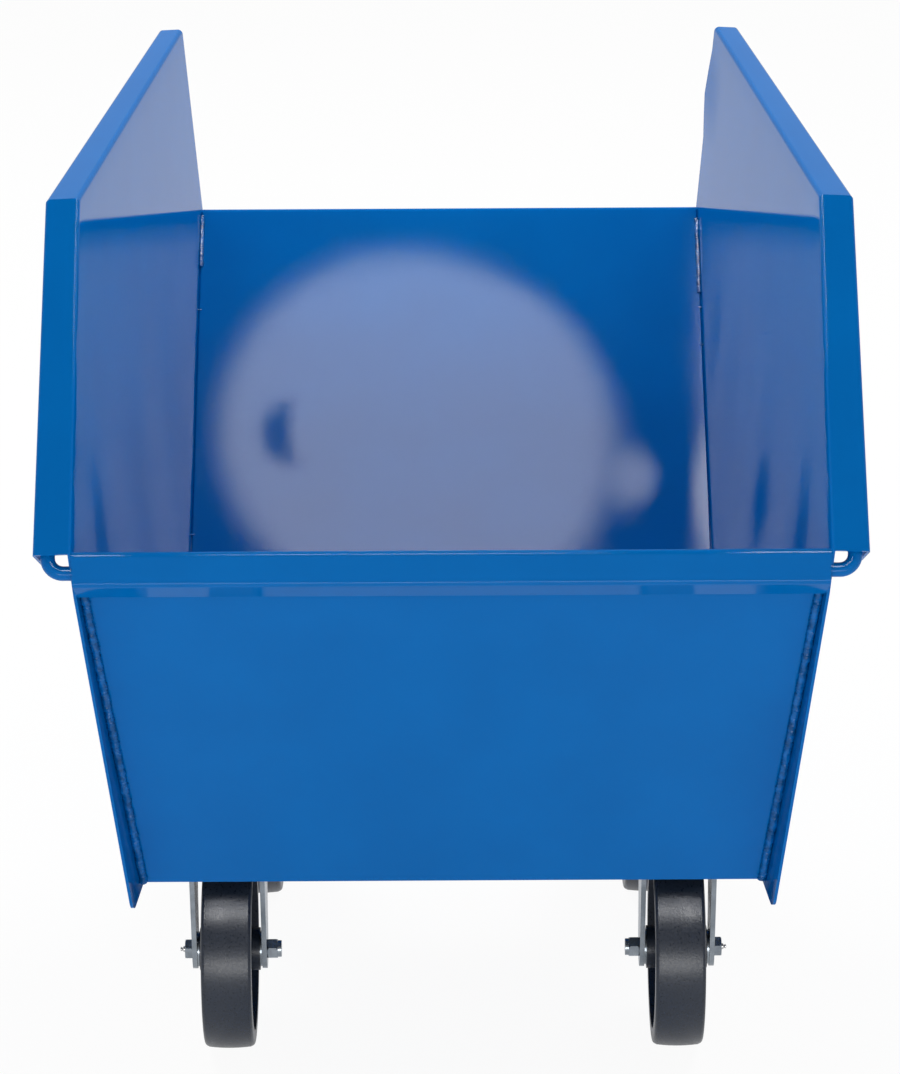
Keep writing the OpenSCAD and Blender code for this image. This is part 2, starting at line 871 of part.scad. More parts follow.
side_panel(-1);  // left_side_panel
side_panel(1);  // right_side_panel
front_wall();
back_wall();
floor_plate();
lip_rod();
front_seam_welds();
back_seam_welds();
caster_plate_bolts();
caster_plate_nuts();
front_caster_plate(-1);  // front_left_caster_plate
front_caster_plate(1);  // front_right_caster_plate
front_fork(-1);  // front_left_fork
front_fork(1);  // front_right_fork
rear_caster_plate(-1);  // rear_left_caster_plate
rear_caster_plate(1);  // rear_right_caster_plate
kingpin(-1);  // rear_left_kingpin
kingpin(1);  // rear_right_kingpin
kingpin_nut(-1);  // rear_left_kingpin_nut
kingpin_nut(1);  // rear_right_kingpin_nut
swivel_balls(-1);  // rear_left_swivel_balls
swivel_balls(1);  // rear_right_swivel_balls
yoke(-1);  // rear_left_yoke
yoke(1);  // rear_right_yoke
wheel(-1, false);  // front_left_wheel
wheel(1, false);  // front_right_wheel
wheel(-1, true);  // rear_left_wheel
wheel(1, true);  // rear_right_wheel
bearing(-1, false);  // front_left_bearing
bearing(1, false);  // front_right_bearing
bearing(-1, true);  // rear_left_bearing
bearing(1, true);  // rear_right_bearing
bushing(-1, false);  // front_left_bushing
bushing(1, false);  // front_right_bushing
bushing(-1, true);  // rear_left_bushing
bushing(1, true);  // rear_right_bushing
hub_washers(-1, false);  // front_left_hub_washers
hub_washers(1, false);  // front_right_hub_washers
hub_washers(-1, true);  // rear_left_hub_washers
hub_washers(1, true);  // rear_right_hub_washers
axle_bolt(-1, false);  // front_left_axle_bolt
axle_bolt(1, false);  // front_right_axle_bolt
axle_bolt(-1, true);  // rear_left_axle_bolt
axle_bolt(1, true);  // rear_right_axle_bolt
axle_nut(-1, false);  // front_left_axle_nut
axle_nut(1, false);  // front_right_axle_nut
axle_nut(-1, true);  // rear_left_axle_nut
axle_nut(1, true);  // rear_right_axle_nut
grease_fitting(-1, false);  // front_left_grease_fitting
grease_fitting(1, false);  // front_right_grease_fitting
grease_fitting(-1, true);  // rear_left_grease_fitting
grease_fitting(1, true);  // rear_right_grease_fitting
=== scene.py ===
"""Looks of the wheeled steel hopper: finishes, dented sheets, weld beads and the studio.

Every length is in metres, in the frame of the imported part: +Z is up and the pouring lip faces -Y.
"""

import logging
import math
from collections.abc import Callable, Iterator
from contextlib import contextmanager
from dataclasses import dataclass
from enum import Enum

import bmesh
import bpy
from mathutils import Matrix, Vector


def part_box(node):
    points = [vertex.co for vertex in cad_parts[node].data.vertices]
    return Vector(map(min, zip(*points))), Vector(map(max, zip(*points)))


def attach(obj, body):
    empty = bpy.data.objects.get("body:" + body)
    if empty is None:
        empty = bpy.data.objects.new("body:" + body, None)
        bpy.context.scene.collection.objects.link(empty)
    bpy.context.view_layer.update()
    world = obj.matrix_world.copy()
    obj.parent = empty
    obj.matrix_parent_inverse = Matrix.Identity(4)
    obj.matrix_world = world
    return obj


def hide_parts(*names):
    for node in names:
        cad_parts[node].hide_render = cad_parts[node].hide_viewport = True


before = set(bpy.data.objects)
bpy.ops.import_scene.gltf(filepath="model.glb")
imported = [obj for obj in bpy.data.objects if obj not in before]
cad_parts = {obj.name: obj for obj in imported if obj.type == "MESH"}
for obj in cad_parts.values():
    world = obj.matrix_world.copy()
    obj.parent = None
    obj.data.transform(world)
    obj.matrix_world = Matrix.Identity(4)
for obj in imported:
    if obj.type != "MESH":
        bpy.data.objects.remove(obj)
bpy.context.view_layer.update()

LOG = logging.getLogger("hopper")
Span = tuple[float, float]
Point = tuple[float, float, float]
Colour = tuple[float, float, float]
Socket = bpy.types.NodeSocket


class Side(Enum):
    """Which side of the hopper a piece is on; the value is the sign of its X."""

    LEFT = -1
    RIGHT = 1

    @property
    def word(self) -> str:
        """The side's name in node names."""
        return self.name.lower()


class Slot(Enum):
    """Material slots of the record."""

    HOPPER_PAINT = "hopper_paint"
    ZINC_PLATE = "zinc_plate"
    BRIGHT_STEEL = "bright_steel"
    WHEEL = "wheel"


class Axis(Enum):
    """Directions of the part's frame."""

    X = (1.0, 0.0, 0.0)
    Y = (0.0, 1.0, 0.0)
    Z = (0.0, 0.0, 1.0)


class LampShape(Enum):
    """Outlines of the lamps, by Blender's names."""

    RECTANGLE = "RECTANGLE"
    ELLIPSE = "ELLIPSE"


class LampLight(Enum):
    """What a lamp's light does: lights surfaces plainly, is mirrored in them, or both."""

    PLAIN = "plain"
    MIRRORED = "mirrored"
    BOTH = "both"


Materials = dict[Slot, bpy.types.Material]


class NodeTree:
    """A material's node tree, with short ways to add and join its nodes."""

    def __init__(self, name: str) -> None:
        """Starts an empty material.

        Args:
            name: name of the material.
        """
        self.material = bpy.data.materials.new(name)
        self.material.use_nodes = True
        self.tree = self.material.node_tree
        self.tree.nodes.clear()
        self.output = self.add("ShaderNodeOutputMaterial")
        self.coords = self.add("ShaderNodeTexCoord").outputs["Object"]

    def add(self, kind: str, **values: object) -> bpy.types.Node:
        """Adds a node.

        Args:
            kind: Blender's name of the node type.
            **values: attributes of the node to set.

        Returns:
            The new node.
        """
        node = self.tree.nodes.new(kind)
        for name, value in values.items():
            setattr(node, name, value)
        return node

    def join(self, source: Socket, target: Socket) -> None:
        """Links an output socket to an input socket."""
        self.tree.links.new(source, target)

    def noise(
        self, scale: float, detail: float = 2.0, stretch: Point = (1.0, 1.0, 1.0)
    ) -> Socket:
        """Adds a noise texture in object coordinates.

        Args:
            scale: cells per metre.
            detail: octaves of finer noise.
            stretch: factors on the three coordinates.

        Returns:
            The noise value's socket.
        """
        mapping = self.add("ShaderNodeMapping")
        mapping.inputs["Scale"].default_value = stretch
        self.join(self.coords, mapping.inputs["Vector"])
        node = self.add("ShaderNodeTexNoise")
        node.inputs["Scale"].default_value = scale
        node.inputs["Detail"].default_value = detail
        self.join(mapping.outputs["Vector"], node.inputs["Vector"])
        return node.outputs["Fac"]

    def span(
        self, value: Socket, low: float, high: float, start: float = 0.3, end: float = 0.7
    ) -> Socket:
        """Maps a value onto a range.

        Args:
            value: the value's socket.
            low: result at start.
            high: result at end.
            start: value that gives low.
            end: value that gives high.

        Returns:
            The mapped value's socket.
        """
        node = self.add("ShaderNodeMapRange")
        node.inputs["From Min"].default_value = start
        node.inputs["From Max"].default_value = end
        node.inputs["To Min"].default_value = low
        node.inputs["To Max"].default_value = high
        self.join(value, node.inputs["Value"])
        return node.outputs["Result"]

    def larger(self, one: Socket, other: Socket) -> Socket:
        """Takes the larger of two values.

        Args:
            one: the first value's socket.
            other: the second value's socket.

        Returns:
            The larger value's socket.
        """
        node = self.add("ShaderNodeMath", operation="MAXIMUM")
        self.join(one, node.inputs[0])
        self.join(other, node.inputs[1])
        return node.outputs["Value"]

    def ramp(
        self, value: Socket, low: Colour, high: Colour, start: float = 0.35, end: float = 0.65
    ) -> Socket:
        """Turns a value into a colour between two.

        Args:
            value: the value's socket.
            low: colour at start.
            high: colour at end.
            start: value that gives low.
            end: value that gives high.

        Returns:
            The colour's socket.
        """
        node = self.add("ShaderNodeValToRGB")
        stops = ((start, low), (end, high))
        for element, (place, colour) in zip(node.color_ramp.elements, stops):
            element.position = place
            element.color = (*colour, 1)
        self.join(value, node.inputs["Fac"])
        return node.outputs["Color"]

    def bump(self, height: Socket, distance: float, under: Socket | None = None) -> Socket:
        """Adds relief.

        Args:
            height: relief from 0 to 1.
            distance: height of a relief of 1, in metres.
            under: normal of the relief that this one lies on.

        Returns:
            The normal's socket.
        """
        node = self.add("ShaderNodeBump")
        node.inputs["Distance"].default_value = distance
        self.join(height, node.inputs["Height"])
        if under is not None:
            self.join(under, node.inputs["Normal"])
        return node.outputs["Normal"]

    def shader(self, **values: object) -> bpy.types.Node:
        """Adds the principled shader and joins it to the output.

        Args:
            **values: constants or sockets by input name, with _ for a space.

        Returns:
            The shader node.
        """
        node = self.add("ShaderNodeBsdfPrincipled")
        for name, value in values.items():
            socket = node.inputs[name.replace("_", " ")]
            if isinstance(value, Socket):
                self.join(value, socket)
            elif isinstance(value, tuple):
                socket.default_value = (*value, 1)
            else:
                socket.default_value = value
        self.join(node.outputs["BSDF"], self.output.inputs["Surface"])
        return node


@dataclass(frozen=True)
class PowderCoat:
    """Glossy powder coat with its orange peel.

    Attributes:
        name: name of the material.
        colour: colour where the coat is thin.
        deep: colour where it is thick.
        mottle: clouds of the two colours per metre.
        gloss: least and greatest roughness.
        gloss_scale: clouds of the roughness per metre.
        specular: strength of its mirror.
        peel_scale: dimples of the orange peel per metre.
        peel_height: height of the orange peel.
    """

    name: str = "hopper_powder_coat"
    colour: Colour = (0.0, 0.138, 0.460)
    deep: Colour = (0.0, 0.129, 0.435)
    mottle: float = 9.0
    gloss: Span = (0.02, 0.04)
    gloss_scale: float = 30.0
    specular: float = 0.12
    peel_scale: float = 620.0
    peel_height: float = 0.00002

    def material(self) -> bpy.types.Material:
        """Makes the finish.

        Returns:
            The new material.
        """
        tree = NodeTree(self.name)
        tree.shader(
            Base_Color=tree.ramp(tree.noise(self.mottle, detail=3.0), self.deep, self.colour),
            Roughness=tree.span(tree.noise(self.gloss_scale, detail=3.0), *self.gloss),
            Specular_IOR_Level=self.specular,
            Normal=tree.bump(tree.noise(self.peel_scale, detail=1.0), self.peel_height),
        )
        return tree.material


@dataclass(frozen=True)
class ZincPlate:
    """Bright zinc plating over rolled steel, with a faint blue cast.

    Attributes:
        name: name of the material.
        colour: colour of its bright clouds.
        dull: colour of its dull clouds.
        gloss: least and greatest roughness.
        cloud_scale: clouds per metre.
        grain_scale: grains per metre.
        grain_height: height of the grain.
    """

    name: str = "zinc_plating"
    colour: Colour = (0.36, 0.40, 0.44)
    dull: Colour = (0.22, 0.25, 0.28)
    gloss: Span = (0.16, 0.28)
    cloud_scale: float = 45.0
    grain_scale: float = 900.0
    grain_height: float = 0.00006

    def material(self) -> bpy.types.Material:
        """Makes the finish.

        Returns:
            The new material.
        """
        tree = NodeTree(self.name)
        cloud = tree.noise(self.cloud_scale, detail=4.0)
        tree.shader(
            Base_Color=tree.ramp(cloud, self.dull, self.colour),
            Metallic=1.0,
            Roughness=tree.span(cloud, *self.gloss),
            Normal=tree.bump(tree.noise(self.grain_scale), self.grain_height),
        )
        return tree.material


@dataclass(frozen=True)
class BrightSteel:
    """Ground bare steel of balls, bearings and bushings.

    Attributes:
        name: name of the material.
        colour: colour of its bright streaks.
        dull: colour of its dull streaks.
        gloss: least and greatest roughness.
        grain_scale: streaks per metre.
        grain_stretch: factors on the streaks' three coordinates.
        grain_height: height of the streaks.
    """

    name: str = "ground_steel"
    colour: Colour = (0.62, 0.62, 0.62)
    dull: Colour = (0.50, 0.50, 0.51)
    gloss: Span = (0.18, 0.32)
    grain_scale: float = 600.0
    grain_stretch: Point = (0.1, 1.0, 1.0)
    grain_height: float = 0.00003

    def material(self) -> bpy.types.Material:
        """Makes the finish.

        Returns:
            The new material.
        """
        tree = NodeTree(self.name)
        grain = tree.noise(self.grain_scale, detail=3.0, stretch=self.grain_stretch)
        tree.shader(
            Base_Color=tree.ramp(grain, self.dull, self.colour, start=0.3, end=0.7),
            Metallic=1.0,
            Roughness=tree.span(grain, *self.gloss),
            Normal=tree.bump(grain, self.grain_height),
        )
        return tree.material


@dataclass(frozen=True)
class WheelResin:
    """Dark satin phenolic of a pressed wheel, with turning marks around its tread.

    Attributes:
        name: name of the material.
        colour: colour of the resin.
        worn: colour of its worn fibres.
        gloss: least and greatest roughness.
        specular: strength of its mirror.
        ring_scale: turning marks per metre.
        ring_stretch: factors on the marks' three coordinates.
        ring_height: height of the marks.
        fibre_scale: fibres per metre.
        fibre_height: height of the fibres.
    """

    name: str = "wheel_resin"
    colour: Colour = (0.008, 0.014, 0.026)
    worn: Colour = (0.016, 0.024, 0.042)
    gloss: Span = (0.26, 0.36)
    specular: float = 0.5
    ring_scale: float = 260.0
    ring_stretch: Point = (1.0, 0.02, 0.02)
    ring_height: float = 0.0001
    fibre_scale: float = 420.0
    fibre_height: float = 0.00012

    def material(self) -> bpy.types.Material:
        """Makes the finish.

        Returns:
            The new material.
        """
        tree = NodeTree(self.name)
        rings = tree.noise(self.ring_scale, stretch=self.ring_stretch)
        fibres = tree.noise(self.fibre_scale, detail=4.0)
        tree.shader(
            Base_Color=tree.ramp(fibres, self.colour, self.worn, end=0.7),
            Roughness=tree.span(fibres, *self.gloss),
            Specular_IOR_Level=self.specular,
            Normal=tree.bump(fibres, self.fibre_height, tree.bump(rings, self.ring_height)),
        )
        return tree.material


@dataclass(frozen=True)
class Finishes:
    """All finishes of the part, one for each material slot."""

    coat: PowderCoat = PowderCoat()
    zinc: ZincPlate = ZincPlate()
    steel: BrightSteel = BrightSteel()
    resin: WheelResin = WheelResin()

    def make(self) -> Materials:
        """Makes the material of each slot.

        Returns:
            The materials by slot.
        """
        return {
            Slot.HOPPER_PAINT: self.coat.material(),
            Slot.ZINC_PLATE: self.zinc.material(),
            Slot.BRIGHT_STEEL: self.steel.material(),
            Slot.WHEEL: self.resin.material(),
        }


class Bench:
    """Blender's modelling operators, used on one object at a time.

    Attributes:
        MERGE: distance up to which corners are one corner.
        SLIVER: length up to which an edge is a sliver.
        FLAT: angle in degrees up to which neighbouring triangles are one face.
        ON_LINE: distance up to which a corner lies on a line.
    """

    MERGE = 0.00001
    SLIVER = 0.00002
    FLAT = 1.0
    ON_LINE = 0.0015

    @staticmethod
    def alone(piece: bpy.types.Object) -> None:
        """Selects only this object and makes it the active one."""
        bpy.ops.object.select_all(action="DESELECT")
        piece.select_set(True)
        bpy.context.view_layer.objects.active = piece

    @staticmethod
    @contextmanager
    def editing(piece: bpy.types.Object) -> Iterator[None]:
        """Opens the piece in edit mode.

        Args:
            piece: the object to edit.

        Yields:
            Nothing; edit mode ends with the block.
        """
        Bench.alone(piece)
        bpy.ops.object.mode_set(mode="EDIT")
        bpy.ops.mesh.select_mode(type="VERT")
        yield
        bpy.ops.object.mode_set(mode="OBJECT")

    @staticmethod
    def copy(node: str, name: str) -> bpy.types.Object:
        """Copies a CAD node's mesh into a new object, with its loose triangles merged.

        Args:
            node: the CAD node.
            name: name of the new object.

        Returns:
            The new object.
        """
        piece = bpy.data.objects.new(name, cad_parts[node].data.copy())
        bpy.context.scene.collection.objects.link(piece)
        Bench.alone(piece)
        bpy.ops.mesh.customdata_custom_splitnormals_clear()
        with Bench.editing(piece):
            bpy.ops.mesh.select_all(action="SELECT")
            bpy.ops.mesh.remove_doubles(threshold=Bench.MERGE)
            bpy.ops.mesh.dissolve_limited(angle_limit=math.radians(Bench.FLAT))
            bpy.ops.mesh.vert_connect_concave()
        return piece

    @staticmethod
    def pick_verts(piece: bpy.types.Object, test: Callable[[Vector], bool]) -> None:
        """Selects the vertices whose place passes the test, in edit mode.

        Args:
            piece: the object in edit mode.
            test: says if a place is wanted.
        """
        bpy.ops.mesh.select_mode(type="VERT")
        bpy.ops.mesh.select_all(action="DESELECT")
        mesh = bmesh.from_edit_mesh(piece.data)
        for vert in mesh.verts:
            vert.select = test(vert.co)
        mesh.select_flush_mode()
        bmesh.update_edit_mesh(piece.data)

    @staticmethod
    def pick_edges(piece: bpy.types.Object, test: Callable[[Vector, Vector], bool]) -> None:
        """Selects the edges whose two ends pass the test, in edit mode.

        Args:
            piece: the object in edit mode.
            test: says if an edge between two places is wanted.
        """
        bpy.ops.mesh.select_mode(type="EDGE")
        bpy.ops.mesh.select_all(action="DESELECT")
        mesh = bmesh.from_edit_mesh(piece.data)
        picked = [edge for edge in mesh.edges if test(edge.verts[0].co, edge.verts[1].co)]
        for edge in picked:
            edge.select = True
        mesh.select_flush_mode()
        bmesh.update_edit_mesh(piece.data)

    @staticmethod
    def cut(axis: Axis, low: float, high: float, step: float) -> None:
        """Cuts the faces of the piece in edit mode along parallel planes.

        Args:
            axis: normal of the planes.
            low: where the planes start.
            high: where they end.
            step: distance between them.
        """
        normal = Vector(axis.value)
        for index in range(1, round((high - low) / step)):
            bpy.ops.mesh.select_all(action="SELECT")
            bpy.ops.mesh.bisect(plane_co=normal * (low + index * step), plane_no=normal)

    @staticmethod
    def nudge(
        piece: bpy.types.Object, low: Vector, high: Vector, shift: Vector, radius: float
    ) -> None:
        """Pushes the surface around a point or line, falling off smoothly, in edit mode.

        Args:
            piece: the object in edit mode.
            low: one end of the line.
            high: its other end, or the same point again.
            shift: how far and which way its middle goes.
            radius: where the dent ends.
        """
        mesh = bmesh.from_edit_mesh(piece.data)
        middle = (low + high) / 2
        nearest = min(mesh.verts, key=lambda vert: (vert.co - middle).length)
        offset = nearest.co - middle
        low, high = low + offset, high + offset
        run = high - low

        def on_line(co: Vector) -> bool:
            """Says if a place lies on the line."""
            part = (co - low).dot(run) / run.length_squared if run.length > 0.0 else 0.0
            foot = low + run * min(1.0, max(0.0, part))
            return (co - foot).length < Bench.ON_LINE

        Bench.pick_verts(piece, on_line)
        bpy.ops.transform.translate(
            value=shift,
            use_proportional_edit=True,
            proportional_edit_falloff="SMOOTH",
            proportional_size=radius,
        )

    @staticmethod
    def join(pieces: list[bpy.types.Object], name: str) -> bpy.types.Object:
        """Joins pieces into one object.

        Args:
            pieces: the objects to join.
            name: name of the joined object.

        Returns:
            The joined object.
        """
        bpy.ops.object.select_all(action="DESELECT")
        for piece in pieces:
            piece.select_set(True)
        bpy.context.view_layer.objects.active = pieces[0]
        bpy.ops.object.join()
        pieces[0].name = name
        return pieces[0]

    @staticmethod
    def smooth(piece: bpy.types.Object, angle: float) -> None:
        """Shades the bends round and keeps the flats flat.

        Args:
            piece: the object.
            angle: steepest fold that is shaded as a bend, in degrees.
        """
        Bench.alone(piece)
        bpy.ops.object.shade_smooth_by_angle(angle=math.radians(angle))
        modifier = piece.modifiers.new("weighted", "WEIGHTED_NORMAL")
        modifier.keep_sharp = True
        bpy.ops.object.modifier_apply(modifier=modifier.name)

    @staticmethod
    def finish(
        piece: bpy.types.Object,
        body: str,
        slot: Slot,
        coats: tuple[bpy.types.Material, ...],
        *nodes: str,
    ) -> None:
        """Gives the piece its materials and its place in the frame.

        Args:
            piece: the object.
            body: the body it rides on.
            slot: the slot its finish belongs to; not used.
            coats: its finishes, in the order of its faces' material numbers.
            *nodes: CAD nodes that it stands for.
        """
        for place, coat in zip(piece.material_slots, coats):
            place.material = coat
        for coat in coats[len(piece.material_slots):]:
            piece.data.materials.append(coat)
        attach(piece, body)
        if nodes:
            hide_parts(*nodes)
        LOG.info("built %s", piece.name)


@dataclass(frozen=True)
class Dent:
    """A shallow dent or bulge in a sheet: its place, its height and where it ends."""

    across: float
    up: float
    height: float
    radius: float


@dataclass(frozen=True)
class Wave:
    """A slow upright wave in a sheet: its place, its ends, its height and half its width."""

    across: float
    low: float
    high: float
    height: float
    radius: float


@dataclass(frozen=True)
class Seam:
    """Welds of a back seam, down from its top: starts and lengths of runs, and places of tacks."""

    runs: tuple[Span, ...]
    tacks: tuple[float, ...]


@dataclass(frozen=True)
class Ripple:
    """Surface of a weld bead.

    Attributes:
        sides: number of sides around the bead.
        pitch: length of a ripple.
        fewest: least number of ripples.
        most: greatest number of ripples.
        rings: rings of corners in each ripple.
        swell: height of a ripple, as a share of the radius.
        taper: radius of the bead's ends, as a share of the radius.
        lumps: height of its lumps, as a share of the radius.
        lump_scale: width of its lumps.
        bend_angle: steepest fold that is shaded as a bend, in degrees.
    """

    sides: int = 12
    pitch: float = 0.003
    fewest: int = 3
    most: int = 99
    rings: int = 3
    swell: float = 0.22
    taper: float = 0.45
    lumps: float = 0.8
    lump_scale: float = 0.006
    bend_angle: float = 70.0


@dataclass
class Hopper:
    """The welded hopper: dented sheets and weld beads.

    Attributes:
        lip_half: half of the inside width at the lip.
        lip_y: place of the lip.
        lip_z: height of the lip.
        side_toe: angle by which each side panel closes in towards the back, in degrees.
        side_flare: angle by which each side panel leans outwards.
        front_lean: lean of the front wall from the upright.
        back_rise: slope of the back wall from the level.
        foot_z: height at which the feet of the front and back walls are given.
        front_foot_y: place of the front wall's outer face there.
        back_foot_y: place of the back wall's inner face there.
        back_top_z: height of the back wall's top edge.
        back_cell: width of the back wall's grid, fine enough for its dents.
        side_cell: width of the other sheets' grids.
        bend_angle: steepest fold of a sheet that is shaded as a bend.
        groove: width of the groove beside the back wall.
        wall_reach: how far an edge of the back seam may lie off the wall's face.
        seam_reach: how far it may lie off the side panel.
        seam_least: least height of such an edge.
        front_inset: distance of the front beads' middle from both sheets; keeps lumps inside.
        front_bead: radius of the front beads.
        front_run: lowest and highest place of the front beads.
        back_inset: distance of the back beads' middle from both sheets.
        back_bead: radius of the back beads.
        tack_bead: radius of the tacks.
        tack_half: half the length of the tacks.
        ripple: surface of the beads.
        front_coat: finish of the front beads.
        back_coat: finish of the back beads.
        groove_shade_coat: painted shade of the grooves, a darker coat that stands in for the shade
            inside the seam crevices.
        left_seam: welds of the left back seam.
        right_seam: welds of the right back seam.
        back_dents: dents of the back wall.
        side_waves: waves of both side panels.
        rear_curl: curl of the right panel's upper rear edge.
    """

    lip_half: float = 0.361
    lip_y: float = -0.395698
    lip_z: float = 0.6183
    side_toe: float = 6.6
    side_flare: float = 4.6
    front_lean: float = 14.8
    back_rise: float = 48.8
    foot_z: float = 0.25
    front_foot_y: float = -0.292622
    back_foot_y: float = 0.0048627
    back_top_z: float = 0.6943
    back_cell: float = 0.0125
    side_cell: float = 0.025
    bend_angle: float = 35.0
    groove: float = 0.002
    wall_reach: float = 0.0005
    seam_reach: float = 0.002
    seam_least: float = 0.05
    front_inset: float = 0.0034
    front_bead: float = 0.0038
    front_run: Span = (0.211, 0.585)
    back_inset: float = 0.0014
    back_bead: float = 0.0026
    tack_bead: float = 0.0011
    tack_half: float = 0.0028
    ripple: Ripple = Ripple()
    front_coat: PowderCoat = PowderCoat(
        "front_weld_powder_coat", deep=(0.0, 0.070, 0.23), mottle=110.0, gloss=(0.15, 0.3),
        specular=0.3, peel_scale=300.0, peel_height=0.0008,
    )
    back_coat: PowderCoat = PowderCoat(
        "back_weld_powder_coat", deep=(0.0, 0.06, 0.20), mottle=110.0, gloss=(0.05, 0.12),
        specular=1.0, peel_scale=400.0, peel_height=0.0008,
    )
    # painted shade: this darker coat on the groove faces stands in for the shade inside the seam
    # crevices
    groove_shade_coat: PowderCoat = PowderCoat(
        "groove_painted_shade_coat", colour=(0.0, 0.045, 0.13), deep=(0.0, 0.035, 0.10), gloss=(0.4, 0.5)
    )
    left_seam: Seam = Seam(((0.006, 0.062), (0.438, 0.060)), (0.118, 0.379))
    right_seam: Seam = Seam(((0.012, 0.090), (0.438, 0.060)), (0.118, 0.162))
    back_dents: tuple[Dent, ...] = (
        Dent(-0.15, 0.50, 0.0015, 0.07),
        Dent(0.05, 0.45, -0.0015, 0.25),
        Dent(0.25, 0.45, 0.0010, 0.08),
    )
    side_waves: tuple[Wave, ...] = (
        Wave(-0.29, 0.40, 0.60, 0.0005, 0.07),
        Wave(-0.21, 0.36, 0.62, -0.0008, 0.08),
        Wave(-0.12, 0.34, 0.62, 0.0008, 0.08),
        Wave(-0.03, 0.36, 0.64, -0.0008, 0.08),
        Wave(0.07, 0.40, 0.64, 0.0008, 0.09),
        Wave(0.17, 0.50, 0.64, -0.0007, 0.08),
    )
    rear_curl: Wave = Wave(0.40, 0.80, 0.84, -0.0035, 0.055)

    def side_x(self, y: float, z: float) -> float:
        """Works out the hopper's half width inside.

        Args:
            y: place along the hopper.
            z: height.

        Returns:
            The distance of a side panel's inner face from the middle.
        """
        toe, flare = math.radians(self.side_toe), math.radians(self.side_flare)
        closing = (y - self.lip_y) * math.tan(toe) / math.cos(flare)
        return self.lip_half - closing + (z - self.lip_z) * math.tan(flare)

    def front_y(self, z: float) -> float:
        """Place of the front wall's outer face at a height."""
        return self.front_foot_y - (z - self.foot_z) * math.tan(math.radians(self.front_lean))

    def back_y(self, z: float) -> float:
        """Place of the back wall's inner face at a height."""
        return self.back_foot_y + (z - self.foot_z) / math.tan(math.radians(self.back_rise))

    def back_up(self) -> Vector:
        """Direction up the slope of the back wall."""
        rise = math.radians(self.back_rise)
        return Vector((0.0, math.cos(rise), math.sin(rise)))

    def back_out(self) -> Vector:
        """Direction out of the back wall's inner face."""
        rise = math.radians(self.back_rise)
        return Vector((0.0, -math.sin(rise), math.cos(rise)))

    def cut_grid(
        self, piece: bpy.types.Object, node: str, cuts: tuple[Axis, Axis], cell: float
    ) -> None:
        """Cuts a sheet's flats into a grid that can be dented.

        Args:
            piece: the sheet.
            node: its CAD node.
            cuts: normals of the two families of cuts.
            cell: width of the grid's cells.
        """
        low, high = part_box(node)
        with Bench.editing(piece):
            for axis in cuts:
                normal = Vector(axis.value)
                Bench.cut(axis, low.dot(normal), high.dot(normal), cell)
            bpy.ops.mesh.select_all(action="SELECT")
            bpy.ops.mesh.dissolve_degenerate(threshold=Bench.SLIVER)

    def build_back_wall(self, coat: bpy.types.Material) -> None:
        """Builds the back wall, with its seam grooves, which carry a darker coat of painted shade,
        and the dents that welding left in it.

        Args:
            coat: the sheets' finish.
        """
        piece = Bench.copy("back_wall", "back_wall_sheet")
        with Bench.editing(piece):
            Bench.pick_edges(piece, self.on_back_seam)
            # the bevelled groove faces take the second material, the coat of painted shade
            bpy.ops.mesh.bevel(offset=self.groove, segments=1, affect="EDGES", material=1)
        self.cut_grid(piece, "back_wall", (Axis.X, Axis.Z), self.back_cell)
        with Bench.editing(piece):
            for dent in self.back_dents:
                place = Vector((dent.across, self.back_y(dent.up), dent.up))
                Bench.nudge(piece, place, place, self.back_out() * dent.height, dent.radius)
        Bench.smooth(piece, self.bend_angle)
        # the second coat paints shade into the grooves
        coats = (coat, self.groove_shade_coat.material())
        Bench.finish(piece, "hopper", Slot.HOPPER_PAINT, coats, "back_wall")

    def on_back_seam(self, start: Vector, end: Vector) -> bool:
        """Says if an edge lies where the back wall's inner face meets a side panel.

        Args:
            start: one end of the edge.
            end: its other end.

        Returns:
            True for an edge of the seam.
        """
        for co in (start, end):
            off_wall = abs(co.y - self.back_y(co.z))
            off_side = abs(abs(co.x) - self.side_x(co.y, co.z))
            if off_wall >= self.wall_reach or off_side >= self.seam_reach:
                return False
        return abs(end.z - start.z) > self.seam_least

    def build_side_panel(self, side: Side, coat: bpy.types.Material) -> None:
        """Builds a side panel, with the slow waves of its sheet.

        Args:
            side: which panel.
            coat: the sheets' finish.
        """
        node = f"{side.word}_side_panel"
        piece = Bench.copy(node, f"{node}_sheet")
        self.cut_grid(piece, node, (Axis.Y, Axis.Z), self.side_cell)
        waves = self.side_waves + ((self.rear_curl,) if side is Side.RIGHT else ())
        with Bench.editing(piece):
            for wave in waves:
                low, high = (
                    Vector((side.value * self.side_x(wave.across, z), wave.across, z))
                    for z in (wave.low, wave.high)
                )
                shift = Vector((side.value * wave.height, 0.0, 0.0))
                Bench.nudge(piece, low, high, shift, wave.radius)
        Bench.smooth(piece, self.bend_angle)
        Bench.finish(piece, "hopper", Slot.HOPPER_PAINT, (coat,), node)

    def build_front_wall(self, coat: bpy.types.Material) -> None:
        """Builds the front wall with its folded lip.

        Args:
            coat: the sheets' finish.
        """
        piece = Bench.copy("front_wall", "front_wall_sheet")
        self.cut_grid(piece, "front_wall", (Axis.X, Axis.Z), self.side_cell)
        Bench.smooth(piece, self.bend_angle)
        Bench.finish(piece, "hopper", Slot.HOPPER_PAINT, (coat,), "front_wall")

